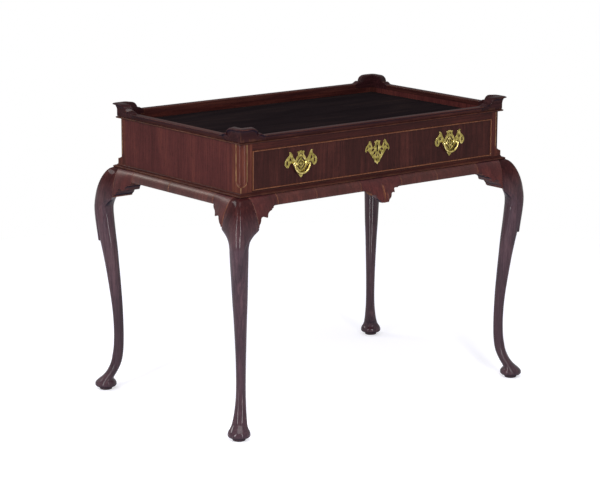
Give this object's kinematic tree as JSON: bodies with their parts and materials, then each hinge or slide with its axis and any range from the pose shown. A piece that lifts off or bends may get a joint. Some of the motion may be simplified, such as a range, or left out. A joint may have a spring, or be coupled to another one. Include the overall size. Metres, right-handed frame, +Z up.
{
  "type": "tea table",
  "caption": "Tray top tea table: dished top with raised corner lobes, a drawer with pierced brass bail handles and a lock, a cushion apron with carved pendant, and cabriole legs on pad feet.",
  "frame": {"origin": "on the floor under the middle of the table", "axes": "+X along the length to the right, -Y out of the drawer front, +Z up"},
  "size_m": [0.911, 0.59, 0.71],
  "materials": {
    "mahogany_leg": "polished old varnish",
    "mahogany_rail": "polished old varnish",
    "mahogany_moulding": "polished old varnish",
    "mahogany_drawer": "polished old varnish",
    "mahogany_tray": "polished old varnish",
    "oak": "plain, unpolished",
    "brass": "cast and lightly polished",
    "iron": "dark, dull"
  },
  "bodies": {
    "table": {"apron_back": "mahogany_moulding", "apron_front_left": "mahogany_moulding", "apron_front_right": "mahogany_moulding", "apron_left": "mahogany_moulding", "apron_right": "mahogany_moulding", "back_rail": "mahogany_rail", "bead_back": "mahogany_moulding", "bead_front": "mahogany_moulding", "bead_left": "mahogany_moulding", "bead_right": "mahogany_moulding", "bracket_back_left": "mahogany_moulding", "bracket_back_right": "mahogany_moulding", "bracket_front_left": "mahogany_moulding", "bracket_front_right": "mahogany_moulding", "bracket_left_back": "mahogany_moulding", "bracket_left_front": "mahogany_moulding", "bracket_right_back": "mahogany_moulding", "bracket_right_front": "mahogany_moulding", "drawer_kickers": "oak", "drawer_runners": "oak", "drawer_stops": "oak", "end_rail_left": "mahogany_rail", "end_rail_right": "mahogany_rail", "front_bottom_rail": "mahogany_moulding", "front_top_rail": "mahogany_moulding", "glue_blocks": "oak", "ledge_back": "mahogany_moulding", "ledge_front": "mahogany_moulding", "ledge_left": "mahogany_moulding", "ledge_right": "mahogany_moulding", "leg_back_left": "mahogany_leg", "leg_back_right": "mahogany_leg", "leg_front_left": "mahogany_leg", "leg_front_right": "mahogany_leg", "lobe_back_left": "mahogany_moulding", "lobe_back_right": "mahogany_moulding", "lobe_front_left": "mahogany_moulding", "lobe_front_right": "mahogany_moulding", "pendant": "mahogany_moulding", "rim_back": "mahogany_moulding", "rim_front": "mahogany_moulding", "rim_left": "mahogany_moulding", "rim_right": "mahogany_moulding", "tray_board": "mahogany_tray"},
    "drawer": {"drawer_front": "mahogany_drawer", "drawer_side_left": "oak", "drawer_side_right": "oak", "drawer_back": "oak", "drawer_bottom": "oak", "cockbeads": "mahogany_moulding", "handle_plates": "brass", "handle_posts": "brass", "handle_nuts": "brass", "escutcheon": "brass", "escutcheon_pins": "brass", "lock_case": "iron", "lock_screws": "iron"},
    "bail_left": {"bail_left": "brass"},
    "bail_right": {"bail_right": "brass"},
    "lock_bolt": {"lock_bolt": "iron"}
  },
  "joints": [
    {"name": "drawer_slide", "type": "slide", "parent": "table", "child": "drawer", "axis": [0, -1, 0], "range_m": [0, 0.33]},
    {"name": "bail_left_swing", "type": "hinge", "parent": "drawer", "child": "bail_left", "pos_m": [-0.23, -0.2485, 0.614], "axis": [-1, 0, 0], "range_deg": [0, 170]},
    {"name": "bail_right_swing", "type": "hinge", "parent": "drawer", "child": "bail_right", "pos_m": [0.23, -0.2485, 0.614], "axis": [-1, 0, 0], "range_deg": [0, 170]},
    {"name": "lock_bolt_throw", "type": "slide", "parent": "drawer", "child": "lock_bolt", "axis": [0, 0, 1], "range_m": [0, 0.005]}
  ]
}
